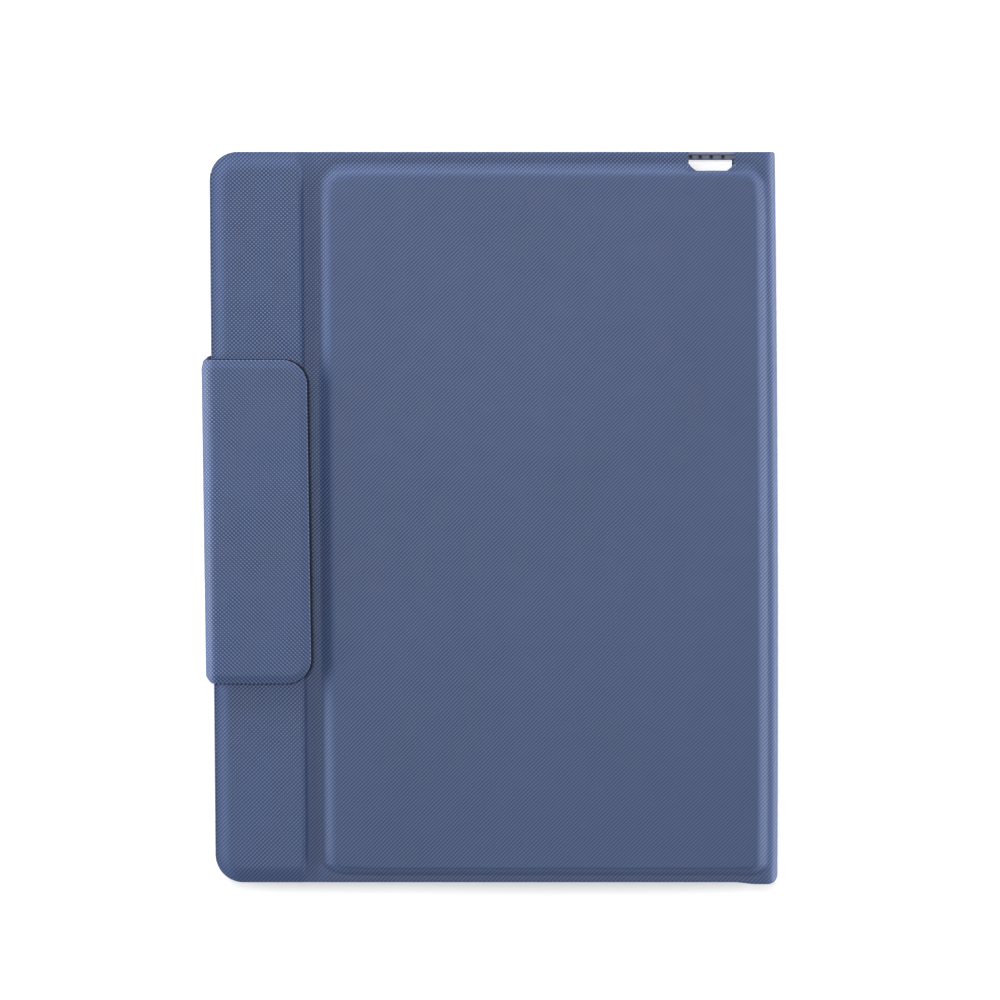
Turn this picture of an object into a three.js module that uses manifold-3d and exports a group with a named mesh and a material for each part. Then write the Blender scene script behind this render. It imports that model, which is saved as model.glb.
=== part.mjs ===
// A folio keyboard case for a ten to eleven inch tablet, lying closed with its cover up.
// Millimetres, +Z up. The origin is on the table under the middle of the case. The spine is at +X, the
// closing flap wraps round the edge at -X, and the typist sits at -X, so the typist's left hand is at +Y.
import * as THREE from "three";
import { mergeVertices } from "three/addons/utils/BufferGeometryUtils.js";
import Module from "manifold-3d";

const wasm = await Module();
wasm.setup();

// ---------- Driving dimensions ----------

// The case seen from above
const CASE_LENGTH = 258.4;
const CASE_WIDTH = 199.6;
const FLAP_STANDOFF = 3.4;
const RIGHT = (CASE_WIDTH + FLAP_STANDOFF) / 2;
const LEFT = RIGHT - CASE_WIDTH;
const END = CASE_LENGTH / 2;
const OUTER_CORNER = 10;
const SPINE_CORNER = 1.2;
const CREASE_RADIUS = 2;
const COVER_RIGHT = RIGHT - CREASE_RADIUS - 0.2;

// The raised panels of the cover and the groove between them
const GROOVE_X = -61.8;
const GROOVE_HALF = 1.5;
const PANEL = { left: -57.4, right: 97.3, bottom: -127.2, top: 123 };
const STRIP = { left: -96.3, right: -64, bottom: -126.9, top: 126.5 };
const PANEL_CORNER = 7;
const STRIP_CORNER = 7;
const BEVEL_WIDTH = 3.2;
const BEVEL_HEIGHT = 1.6;

// Layers, from the table up
const SKIN = 0.8;
const BOARD = 1;
const LINING = 0.5;
const GAP = 0.1;
const CLEAR = 0.3;
const BASE_BORDER = 1.2;
const BASE_LINING_Z = BASE_BORDER + SKIN + GAP;
const MODULE_Z = BASE_LINING_Z + LINING + GAP;
const PLATE_Z = 17;
const PLATE = 1.4;
const COVER_LINING_Z = 18.7;
const COVER_BORDER = COVER_LINING_Z + LINING + GAP;
const COVER_TOP = 22;
const FLAP_Z = 22.2;
const FLAP_TOP = 24;

// The cable slot through the border of both covers, near the spine
const SLOT = { left: 70.1, right: 85.6, top: 127.6, shoulder: 124.7, bottom: 122.3, chamferX: 3 };
const SLOT_TEETH = 4;

// The keyboard module
const TRAY = { left: -95, right: -10.7, end: 122 };
const TRAY_FLOOR = 0.8;
const TRAY_WALL = 1.2;
const DECK_Z = 6.5;
const DECK = 0.8;
const KEY_TOP = 8.8;
const KEY_PITCH = 16.8;
const ROW_PITCH = 13.1;
const FUNCTION_PITCH = 8.5;
const KEY_GAP = 2.4;
const WEB_Z = 5.4;
const WEB = 0.7;
const KEYS_LEFT = -93.4;
const KEYS_END = KEY_PITCH * 7;
const BAY_MIDDLE = -15.2;

// The channel that the tablet's lower edge stands in
const CHANNEL = { left: -10.4, right: 1.2, floor: 1.6, lip: 1.2, height: 3.4, end: 118 };

// The spring holder for the tablet
const TABLET_HALF_LENGTH = 125.3;
const TABLET_EDGE_X = -94.5;
const HOLDER = { left: TABLET_EDGE_X + CLEAR, right: 30, end: 95, corner: 6 };
const TABLET_FRONT = 9.3;
const ARM = { x: -16, width: 14, inner: 62, claw: 30, lip: 1.6, thickness: 1.4 };
const ARM_NOTCH_INNER = 46;

// The closing flap
const FLAP = { left: -98.9, right: -62.8, bottom: -59.4, top: 57.6, corner: 8.5 };
const FLAP_CREASE_RADIUS = 2.6;
const FLAP_WALL = 1.4;
const MAGNET_X = -80;
const MAGNET_Y = 30;
const MAGNET_RADIUS = 6;

// ---------- Materials ----------

const material = (color, roughness, metalness = 0) =>
  new THREE.MeshStandardMaterial({ color, roughness, metalness });
const blueSkin = material(0x5b6889, 0.6);
const blueLining = material(0x4a5673, 0.85);
const greyBoard = material(0x8b8f95, 0.9);
const paleFoam = material(0xd8d8d4, 0.95);
const greyPlastic = material(0x585e6b, 0.5);
const keyPlastic = material(0x6a7183, 0.45);
const darkRubber = material(0x24262b, 0.8);
const paleTape = material(0x868cab, 0.6);
const greenBoard = material(0x2d5a3c, 0.6);
const foil = material(0xa9adb3, 0.35, 0.4);
const steel = material(0xb6b9bd, 0.3, 0.9);
const clearLens = material(0xdde8f2, 0.2);

// ---------- Shapes and solids ----------

// A rectangle with its own radius at each corner: left bottom, right bottom, right top, left top.
function rectangle(left, right, bottom, top, corners = [0, 0, 0, 0]) {
  const shape = new THREE.Shape();
  const [leftBottom, rightBottom, rightTop, leftTop] = corners;
  const quarter = Math.PI / 2;
  const corner = (x, y, radius, start) => {
    if (radius > 0) shape.absarc(x, y, radius, start, start + quarter, false);
    else shape.lineTo(x, y);
  };
  shape.moveTo(left + leftBottom, bottom);
  corner(right - rightBottom, bottom + rightBottom, rightBottom, -quarter);
  corner(right - rightTop, top - rightTop, rightTop, 0);
  corner(left + leftTop, top - leftTop, leftTop, quarter);
  corner(left + leftBottom, bottom + leftBottom, leftBottom, 2 * quarter);
  return shape;
}

// The same rectangle drawn in by a margin all round.
function inset(box, margin, radius) {
  const r = Math.max(radius - margin, 0.6);
  return rectangle(
    box.left + margin,
    box.right - margin,
    box.bottom + margin,
    box.top - margin,
    [r, r, r, r],
  );
}

// A closed geometry as a solid that can be joined and cut.
function solidOf(geometry) {
  const plain = geometry.clone();
  plain.deleteAttribute("normal");
  plain.deleteAttribute("uv");
  const merged = mergeVertices(plain, 1e-4);
  return new wasm.Manifold(
    new wasm.Mesh({
      numProp: 3,
      vertProperties: merged.attributes.position.array,
      triVerts: new Uint32Array(merged.index.array),
    }),
  );
}

// A flat-topped plate of a plan shape between two heights.
function plate(shape, low, high) {
  const geometry = new THREE.ExtrudeGeometry(shape, {
    depth: high - low,
    bevelEnabled: false,
    curveSegments: 6,
  });
  geometry.translate(0, 0, low);
  return solidOf(geometry);
}

// A plate of a plan shape with both rims bevelled inwards.
function bevelledPlate(shape, low, high, width, height) {
  const geometry = new THREE.ExtrudeGeometry(shape, {
    depth: high - low - 2 * height,
    bevelThickness: height,
    bevelSize: width,
    bevelOffset: -width,
    bevelSegments: 2,
    curveSegments: 6,
  });
  geometry.translate(0, 0, low + height);
  return solidOf(geometry);
}

// A bar along Y of a section drawn in X and Z.
function bar(section, bottom, top) {
  const geometry = new THREE.ExtrudeGeometry(section, {
    depth: top - bottom,
    bevelEnabled: false,
    curveSegments: 5,
  });
  geometry.rotateX(Math.PI / 2);
  geometry.translate(0, top, 0);
  return solidOf(geometry);
}

function block(left, right, bottom, top, low, high) {
  const geometry = new THREE.BoxGeometry(right - left, top - bottom, high - low);
  geometry.translate((left + right) / 2, (bottom + top) / 2, (low + high) / 2);
  return solidOf(geometry);
}

function disc(x, y, radius, low, high) {
  const geometry = new THREE.CylinderGeometry(radius, radius, high - low, 20);
  geometry.rotateX(Math.PI / 2);
  geometry.translate(x, y, (low + high) / 2);
  return solidOf(geometry);
}

// A quarter of a tube along Y: the folded skin at a crease, from one angle a quarter turn on.
function crease(x, z, radius, start, bottom, top) {
  const section = new THREE.Shape();
  const end = start + Math.PI / 2;
  section.absarc(x, z, radius, start, end, false);
  section.absarc(x, z, radius - SKIN, end, start, true);
  return bar(section, bottom, top);
}

const whole = new THREE.Group();

function body() {
  const group = new THREE.Group();
  whole.add(group);
  return group;
}

function piece(group, name, solid, look) {
  const { numProp, vertProperties, triVerts } = solid.getMesh();
  const geometry = new THREE.BufferGeometry();
  geometry.setAttribute("position", new THREE.BufferAttribute(vertProperties, numProp));
  geometry.setIndex(new THREE.BufferAttribute(triVerts, 1));
  geometry.computeVertexNormals();
  const mesh = new THREE.Mesh(geometry, look);
  mesh.name = name;
  group.add(mesh);
}

// ---------- The two covers ----------

// The slot's plan: square towards the rim, chamfered towards the panel. The margin opens it all round.
function slotCut(margin, top = SLOT.top + margin) {
  const shape = new THREE.Shape();
  shape.moveTo(SLOT.left - margin, top);
  shape.lineTo(SLOT.left - margin, SLOT.shoulder);
  shape.lineTo(SLOT.left + SLOT.chamferX, SLOT.bottom - margin);
  shape.lineTo(SLOT.right - SLOT.chamferX, SLOT.bottom - margin);
  shape.lineTo(SLOT.right + margin, SLOT.shoulder);
  shape.lineTo(SLOT.right + margin, top);
  return plate(shape, -1, FLAP_TOP);
}

function baseOutline(margin) {
  const left = OUTER_CORNER - margin;
  const right = SPINE_CORNER;
  return rectangle(
    LEFT + margin,
    COVER_RIGHT - margin,
    -END + margin,
    END - margin,
    [left, right, right, left],
  );
}

const base = body();
const BASE_PANEL = { left: -94.6, right: PANEL.right - 1, bottom: -124.5, top: 121.9 };

function buildBaseCover() {
  const border = plate(baseOutline(0), BASE_BORDER, BASE_BORDER + SKIN);
  const raised = bevelledPlate(inset(BASE_PANEL, 0, PANEL_CORNER), 0, 2.4, BEVEL_WIDTH, BASE_BORDER);
  const pocket = plate(inset(BASE_PANEL, BEVEL_WIDTH, PANEL_CORNER), SKIN, 4);
  const top = block(-END, END, -END, END, BASE_BORDER + SKIN, 5);
  const skin = border.add(raised).subtract(pocket).subtract(top).subtract(slotCut(0));
  piece(base, "base_skin", skin, blueSkin);
  const board = inset(BASE_PANEL, BEVEL_WIDTH + CLEAR, PANEL_CORNER);
  piece(base, "base_board", plate(board, SKIN + GAP, SKIN + GAP + BOARD), greyBoard);
  const lining = plate(baseOutline(0.8), BASE_LINING_Z, BASE_LINING_Z + LINING);
  piece(base, "base_lining", lining.subtract(slotCut(0.6)), blueLining);
}

// One half of the cover: a thin border with a raised, bevelled panel that is hollow underneath.
function coverSkin(outline, panel, corner) {
  const border = plate(outline, COVER_BORDER, COVER_BORDER + SKIN);
  const foot = COVER_BORDER + SKIN - BEVEL_HEIGHT;
  const raised = bevelledPlate(inset(panel, 0, corner), foot, COVER_TOP, BEVEL_WIDTH, BEVEL_HEIGHT);
  const pocket = plate(inset(panel, BEVEL_WIDTH, corner), 0, COVER_TOP - SKIN);
  const below = block(-2 * END, 2 * END, -2 * END, 2 * END, 0, COVER_BORDER);
  return border.add(raised).subtract(pocket).subtract(below);
}

const backPanel = body();

function buildBackPanel() {
  const left = GROOVE_X + GROOVE_HALF;
  const corners = [0, SPINE_CORNER, SPINE_CORNER, 0];
  const outline = rectangle(left, COVER_RIGHT, -END, END, corners);
  const skin = coverSkin(outline, PANEL, PANEL_CORNER).subtract(slotCut(0, END + 1));
  piece(backPanel, "back_skin", skin, blueSkin);
  const inner = inset(PANEL, BEVEL_WIDTH + CLEAR, PANEL_CORNER);
  const boardZ = COVER_BORDER + GAP;
  const foamZ = boardZ + BOARD + GAP;
  piece(backPanel, "back_board", plate(inner, boardZ, boardZ + BOARD), greyBoard);
  piece(backPanel, "back_foam", plate(inner, foamZ, COVER_TOP - SKIN - GAP), paleFoam);
  const liningShape = rectangle(left, COVER_RIGHT - 0.8, -END + 0.8, END - 0.8, corners);
  const lining = plate(liningShape, COVER_LINING_Z, COVER_LINING_Z + LINING);
  piece(backPanel, "back_lining", lining.subtract(slotCut(2.4)), blueLining);
}

// The tape that closes the slot at the rim of the cover, with a pinked inner edge of round teeth.
function buildSlotTrim() {
  const pitch = (SLOT.right - SLOT.left) / SLOT_TEETH;
  const low = COVER_BORDER;
  const high = COVER_BORDER + SKIN - GAP;
  const inner = SLOT.top + 0.2;
  const outer = END - GAP;
  let tape = block(SLOT.left + GAP, SLOT.right - GAP, inner, outer, low, high);
  for (let tooth = 0; tooth < SLOT_TEETH; tooth++) {
    const middle = SLOT.left + pitch * (tooth + 0.5);
    tape = tape.add(disc(middle, inner + 0.5, pitch * 0.42, low, high));
  }
  const outside = block(SLOT.left - 9, SLOT.right + 9, outer, outer + 9, 0, COVER_TOP);
  piece(backPanel, "slot_trim", tape.subtract(outside), paleTape);
}

// ---------- The spine ----------

const spine = body();

function buildSpine() {
  const low = BASE_BORDER + CREASE_RADIUS;
  const high = COVER_BORDER + SKIN - CREASE_RADIUS;
  const end = END - SPINE_CORNER;
  const skinX = RIGHT - SKIN;
  const boardX = skinX - GAP - BOARD;
  const liningX = boardX - GAP - LINING;
  piece(spine, "spine_skin", block(skinX, RIGHT, -end, end, low + GAP, high - GAP), blueSkin);
  piece(
    spine,
    "spine_board",
    block(boardX, skinX - GAP, 3 - end, end - 3, low + CLEAR, high - CLEAR),
    greyBoard,
  );
  piece(
    spine,
    "spine_lining",
    block(liningX, boardX - GAP, 1 - end, end - 1, low + CLEAR, high - CLEAR),
    blueLining,
  );
  const centre = RIGHT - CREASE_RADIUS;
  const lower = crease(centre, low, CREASE_RADIUS, -Math.PI / 2, -end, end);
  const upper = crease(centre, high, CREASE_RADIUS, 0, -end, end);
  piece(spine, "lower_crease", lower, blueSkin);
  piece(spine, "upper_crease", upper, blueSkin);
}

// ---------- The holder: the folding strip and the spring holder fixed under it ----------

const holder = body();

function buildStrip() {
  const right = GROOVE_X - GROOVE_HALF;
  const corners = [OUTER_CORNER, 0, 0, OUTER_CORNER];
  const outline = rectangle(LEFT, right, -END, END, corners);
  piece(holder, "strip_skin", coverSkin(outline, STRIP, STRIP_CORNER), blueSkin);
  const boardZ = COVER_BORDER + GAP;
  const boardTop = COVER_TOP - SKIN - GAP;
  let board = plate(inset(STRIP, BEVEL_WIDTH + CLEAR, STRIP_CORNER), boardZ, boardTop);
  for (const side of ["left", "right"]) {
    const y = side === "left" ? MAGNET_Y : -MAGNET_Y;
    board = board.subtract(disc(MAGNET_X, y, MAGNET_RADIUS + CLEAR, boardZ - 1, boardTop + 1));
    const magnet = disc(MAGNET_X, y, MAGNET_RADIUS, boardZ, boardTop - GAP);
    piece(holder, "strip_magnet_" + side, magnet, steel);
  }
  piece(holder, "strip_board", board, greyBoard);
  const liningCorner = OUTER_CORNER - 0.8;
  const liningCorners = [liningCorner, 0, 0, liningCorner];
  const liningShape = rectangle(LEFT + 0.8, right, -END + 0.8, END - 0.8, liningCorners);
  const lining = plate(liningShape, COVER_LINING_Z, COVER_LINING_Z + LINING);
  piece(holder, "strip_lining", lining, blueLining);
  const valley = GROOVE_HALF - GAP;
  const hinge = block(GROOVE_X - valley, GROOVE_X + valley, -END, END, COVER_BORDER, COVER_BORDER + SKIN);
  piece(holder, "groove_crease", hinge, blueSkin);
}

function buildHolderPlate() {
  const { left, right, end, corner } = HOLDER;
  const corners = [corner, corner, corner, corner];
  const top = PLATE_Z + PLATE;
  let holderPlate = plate(rectangle(left, right, -end, end, corners), PLATE_Z, top);
  const notch = ARM.width / 2 + CLEAR;
  for (const sign of [-1, 1]) {
    const near = Math.min(sign * ARM_NOTCH_INNER, sign * (end + 1));
    const far = Math.max(sign * ARM_NOTCH_INNER, sign * (end + 1));
    holderPlate = holderPlate.subtract(
      block(ARM.x - notch, ARM.x + notch, near, far, PLATE_Z - 1, top + 1),
    );
  }
  piece(holder, "holder_plate", holderPlate, greyPlastic);
}

// A fixed claw over the tablet's upper edge, bonded to the plate's rim.
function buildTopClaw(side, middle) {
  const half = 14;
  const outer = TABLET_EDGE_X - ARM.thickness;
  const section = new THREE.Shape();
  section.moveTo(TABLET_EDGE_X, PLATE_Z + PLATE);
  section.lineTo(outer, PLATE_Z + PLATE);
  section.lineTo(outer, TABLET_FRONT - 0.9);
  section.lineTo(TABLET_EDGE_X + ARM.lip, TABLET_FRONT - 0.9);
  section.lineTo(TABLET_EDGE_X + ARM.lip, TABLET_FRONT - GAP);
  section.lineTo(TABLET_EDGE_X, TABLET_FRONT + 0.3);
  const claw = bar(section, middle - half, middle + half);
  piece(holder, "top_claw_" + side, claw, greyPlastic);
}

// A sliding arm: a flat bar in the plate's notch that ends in a wide claw, its rubber pad and its spring.
function buildArm(side, sign) {
  const group = body();
  const turned = (solid) => (sign > 0 ? solid : solid.rotate([0, 0, 180]).translate([2 * ARM.x, 0, 0]));
  const half = ARM.width / 2;
  const inner = TABLET_HALF_LENGTH + 0.4;
  const outer = inner + ARM.thickness;
  const top = PLATE_Z + PLATE;
  const slider = block(ARM.x - half, ARM.x + half, ARM.inner, outer, PLATE_Z, top);
  const clawLeft = ARM.x - ARM.claw / 2;
  const clawRight = ARM.x + ARM.claw / 2;
  const wall = block(clawLeft, clawRight, inner, outer, TABLET_FRONT - 0.9, top);
  const lip = block(clawLeft, clawRight, inner - ARM.lip, outer, TABLET_FRONT - 0.9, TABLET_FRONT - GAP);
  piece(group, "arm_" + side, turned(slider.add(wall).add(lip)), greyPlastic);
  const pad = block(clawLeft + 2, clawRight - 2, inner - 0.4, inner - GAP, TABLET_FRONT + 1, PLATE_Z - 1);
  piece(group, "arm_pad_" + side, turned(pad), darkRubber);
  piece(group, "arm_spring_" + side, turned(flatSpring(top)), steel);
}

// A flat zigzag spring between the notch's end and the arm.
function flatSpring(top) {
  const turns = 6;
  const wire = 0.8;
  const reach = ARM.width / 2 - 1;
  const start = ARM_NOTCH_INNER + CLEAR;
  const pitch = (ARM.inner - CLEAR - wire - start) / turns;
  let spring = block(ARM.x - reach, ARM.x + reach, start, start + wire, PLATE_Z + CLEAR, top - CLEAR);
  for (let turn = 1; turn <= turns; turn++) {
    const y = start + turn * pitch;
    const edge = turn % 2 ? ARM.x + reach - wire : ARM.x - reach;
    const rung = block(ARM.x - reach, ARM.x + reach, y, y + wire, PLATE_Z + CLEAR, top - CLEAR);
    const link = block(edge, edge + wire, y - pitch, y + wire, PLATE_Z + CLEAR, top - CLEAR);
    spring = spring.add(rung).add(link);
  }
  return spring;
}

// ---------- The closing flap ----------

const flapWall = body();
const flapTop = body();

function buildFlap() {
  const { left, right, bottom, top, corner } = FLAP;
  const outer = left - FLAP_CREASE_RADIUS;
  const lowerZ = BASE_BORDER + FLAP_CREASE_RADIUS;
  const upperZ = FLAP_TOP - FLAP_CREASE_RADIUS;
  const lower = crease(left, lowerZ, FLAP_CREASE_RADIUS, Math.PI, bottom, top);
  const tail = block(left - GAP, LEFT - CLEAR, bottom, top, BASE_BORDER, BASE_BORDER + SKIN);
  piece(flapWall, "flap_lower_crease", lower.add(tail), blueSkin);
  const wall = block(outer, outer + FLAP_WALL, bottom, top, lowerZ + GAP, upperZ - GAP);
  piece(flapWall, "flap_wall", wall, blueSkin);
  const upper = crease(left, upperZ, FLAP_CREASE_RADIUS, Math.PI / 2, bottom, top);
  piece(flapTop, "flap_upper_crease", upper, blueSkin);

  const skinLeft = left + GAP;
  const corners = [0, corner, corner, 0];
  const shape = rectangle(skinLeft, right, bottom, top, corners);
  const skinZ = FLAP_Z + LINING + GAP;
  const upward = bevelledPlate(shape, 2 * skinZ - FLAP_TOP - 0.6, FLAP_TOP, 1.2, 0.8);
  const below = block(left - 5, right + 5, bottom - 5, top + 5, 0, skinZ);
  const panel = { left: skinLeft, right, bottom, top };
  const pocket = plate(inset(panel, 2.4, corner), 0, FLAP_TOP - 0.5);
  piece(flapTop, "flap_skin", upward.subtract(below).subtract(pocket), blueSkin);
  const boardTop = FLAP_TOP - 0.5 - GAP;
  let board = plate(inset(panel, 2.4 + CLEAR, corner), skinZ, boardTop);
  for (const side of ["left", "right"]) {
    const y = side === "left" ? MAGNET_Y : -MAGNET_Y;
    board = board.subtract(disc(MAGNET_X, y, MAGNET_RADIUS + CLEAR, skinZ - 1, boardTop + 1));
    piece(flapTop, "flap_magnet_" + side, disc(MAGNET_X, y, MAGNET_RADIUS, skinZ, boardTop - GAP), steel);
  }
  piece(flapTop, "flap_board", board, greyBoard);
  const lining = rectangle(left + 1, right - 0.6, bottom + 0.6, top - 0.6, corners);
  piece(flapTop, "flap_lining", plate(lining, FLAP_Z, FLAP_Z + LINING), blueLining);
}

// ---------- The keyboard ----------

// Key widths in units of the key pitch, from the typist's left, and how each row is split into groups.
// Row 0 is the front row with the space bar, and the last row is the shallow row of function keys.
const ones = (count) => Array(count).fill(1);
const ROWS = [
  { widths: [1, 1, 1, 1.25, 4.75, 1.25, 1, 1, 1, 0.75], groups: [4, 1, 5] },
  { widths: [2.25, ...ones(10), 1.75], groups: [6, 6] },
  { widths: [1.75, ...ones(10), 2.25], groups: [6, 5, 1] },
  { widths: [1.5, ...ones(11), 1.5], groups: [6, 7] },
  { widths: [...ones(12), 2], groups: [7, 6] },
  { widths: ones(14), groups: [14] },
];
const GROUP_NAMES = [
  ["keys_front_left", "space_bar", "keys_front_right"],
  ["keys_shift_left", "keys_shift_right"],
  ["keys_home_left", "keys_home_right", "enter_key"],
  ["keys_letter_left", "keys_letter_right"],
  ["keys_number_left", "keys_number_right"],
  ["keys_function"],
];

// The caps' footprints, row by row.
const keyRows = ROWS.map(({ widths }, row) => {
  const depth = row === ROWS.length - 1 ? FUNCTION_PITCH : ROW_PITCH;
  const left = KEYS_LEFT + row * ROW_PITCH + KEY_GAP / 2;
  let start = KEYS_END;
  return widths.map((width) => {
    const top = start - KEY_GAP / 2;
    start -= width * KEY_PITCH;
    return { left, right: left + depth - KEY_GAP, bottom: start + KEY_GAP / 2, top };
  });
});

// A key cap: a block whose top is a little smaller than its foot.
function keyCap({ left, right, bottom, top }) {
  const taper = 0.5;
  const low = WEB_Z + WEB / 2;
  const geometry = new THREE.BoxGeometry(right - left, top - bottom, KEY_TOP - low);
  const position = geometry.attributes.position;
  for (let i = 0; i < position.count; i++) {
    if (position.getZ(i) < 0) continue;
    position.setX(i, position.getX(i) - Math.sign(position.getX(i)) * taper);
    position.setY(i, position.getY(i) - Math.sign(position.getY(i)) * taper);
  }
  geometry.translate((left + right) / 2, (bottom + top) / 2, (low + KEY_TOP) / 2);
  return solidOf(geometry);
}

// The keys of a group share one web under the deck, so the group is one moulding on one spring.
function buildKeys() {
  ROWS.forEach(({ groups }, row) => {
    let first = 0;
    groups.forEach((count, index) => {
      const keys = keyRows[row].slice(first, first + count);
      first += count;
      const { left, right, top } = keys[0];
      const bottom = keys[count - 1].bottom;
      let group = block(left, right, bottom, top, WEB_Z, WEB_Z + WEB);
      for (const key of keys) group = group.add(keyCap(key));
      piece(body(), GROUP_NAMES[row][index], group, keyPlastic);
    });
  });
}

const SWITCH = { y: 106, length: 8, width: 2.6, travel: 2 };
const LIGHT = { y: 92, radius: 0.9 };

function buildKeyboardModule() {
  const { left, right, end } = TRAY;
  const corners = [3, 1, 1, 3];
  const outside = rectangle(left, right, -end, end, corners);
  const inside = rectangle(
    left + TRAY_WALL,
    right - TRAY_WALL,
    TRAY_WALL - end,
    end - TRAY_WALL,
    corners.map((corner) => Math.max(corner - TRAY_WALL, 0)),
  );
  const floor = MODULE_Z + TRAY_FLOOR;
  const port = { left: BAY_MIDDLE - 3.6, right: BAY_MIDDLE + 3.3, low: floor + 0.2, high: DECK_Z - 0.4 };
  const portHole = block(
    port.left - CLEAR,
    port.right + CLEAR,
    end - 4,
    end + 1,
    port.low - GAP,
    DECK_Z + 1,
  );
  const tray = plate(outside, MODULE_Z, DECK_Z - GAP).subtract(plate(inside, floor, DECK_Z + 1));
  piece(base, "keyboard_tray", tray.subtract(portHole), greyPlastic);

  let deck = plate(outside, DECK_Z, DECK_Z + DECK);
  const deckCut = (box, margin) =>
    block(
      box.left - margin,
      box.right + margin,
      box.bottom - margin,
      box.top + margin,
      DECK_Z - 1,
      DECK_Z + DECK + 1,
    );
  for (const key of keyRows.flat()) deck = deck.subtract(deckCut(key, CLEAR));
  const switchReach = SWITCH.length / 2 + SWITCH.travel;
  const switchSlot = {
    left: BAY_MIDDLE - SWITCH.width / 2,
    right: BAY_MIDDLE + SWITCH.width / 2,
    bottom: SWITCH.y - switchReach,
    top: SWITCH.y + switchReach - SWITCH.travel,
  };
  deck = deck.subtract(deckCut(switchSlot, CLEAR));
  deck = deck.subtract(disc(BAY_MIDDLE, LIGHT.y, LIGHT.radius + CLEAR, DECK_Z - 1, DECK_Z + DECK + 1));
  piece(base, "keyboard_deck", deck, greyPlastic);

  const wellRight = BAY_MIDDLE - 4.4;
  const wellEnd = end - TRAY_WALL - CLEAR;
  const membrane = block(left + TRAY_WALL + 3, wellRight, -wellEnd, wellEnd, floor + GAP, floor + 0.4);
  piece(base, "membrane_sheet", membrane, darkRubber);
  const bayLeft = BAY_MIDDLE - 3.2;
  const bayRight = BAY_MIDDLE + 3;
  const boardTop = floor + 1;
  const circuit = block(bayLeft, bayRight, 40, 114, floor + 0.2, boardTop);
  piece(base, "circuit_board", circuit, greenBoard);
  piece(base, "battery", block(bayLeft, bayRight, -70, 36, floor + 0.2, DECK_Z - 0.4), foil);

  const shell = block(port.left, port.right, end - 6, end + 0.2, port.low, port.high);
  const mouth = block(port.left + 0.4, port.right - 0.4, end - 5, end + 1, port.low + 0.4, port.high - 0.4);
  const middle = (port.low + port.high) / 2;
  const tongue = block(port.left + 1.4, port.right - 1.4, end - 5.4, end - 0.6, middle - 0.3, middle + 0.3);
  piece(base, "usb_port", shell.subtract(mouth).add(tongue), steel);

  const lens = disc(BAY_MIDDLE, LIGHT.y, LIGHT.radius, boardTop + CLEAR, DECK_Z + DECK + 0.2);
  piece(base, "status_light", lens, clearLens);

  const half = SWITCH.length / 2;
  const foot = block(
    BAY_MIDDLE - SWITCH.width / 2 - 0.8,
    BAY_MIDDLE + SWITCH.width / 2 + 0.8,
    SWITCH.y - half,
    SWITCH.y + half,
    boardTop + CLEAR,
    DECK_Z - CLEAR,
  );
  const knob = block(
    BAY_MIDDLE - SWITCH.width / 2,
    BAY_MIDDLE + SWITCH.width / 2,
    SWITCH.y - half,
    SWITCH.y + half,
    boardTop + 1,
    DECK_Z + DECK + 0.9,
  );
  piece(body(), "power_switch", foot.add(knob), darkRubber);
}

// The channel behind the keyboard: a low U section with two bar magnets let into its floor.
function buildChannel() {
  const { left, right, floor, lip, height, end } = CHANNEL;
  const bottom = MODULE_Z;
  let rail = block(left, right, -end, end, bottom, bottom + floor);
  rail = rail.add(block(right - lip, right, -end, end, bottom, bottom + height));
  for (const side of ["left", "right"]) {
    const y = side === "left" ? 60 : -60;
    const middle = (left + right - lip) / 2;
    const pocketZ = bottom + 0.4;
    const pocket = block(middle - 2.3, middle + 2.3, y - 20.3, y + 20.3, pocketZ, bottom + floor + 1);
    rail = rail.subtract(pocket);
    const magnet = block(middle - 2, middle + 2, y - 20, y + 20, pocketZ + GAP, bottom + floor - GAP);
    piece(base, "channel_magnet_" + side, magnet, steel);
  }
  piece(base, "channel_rail", rail, greyPlastic);
}

buildBaseCover();
buildKeyboardModule();
buildChannel();
buildKeys();
buildSpine();
buildBackPanel();
buildSlotTrim();
buildStrip();
buildHolderPlate();
buildTopClaw("left", 55);
buildTopClaw("right", -55);
buildArm("left", 1);
buildArm("right", -1);
buildFlap();

export default whole;
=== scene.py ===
import math

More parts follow.
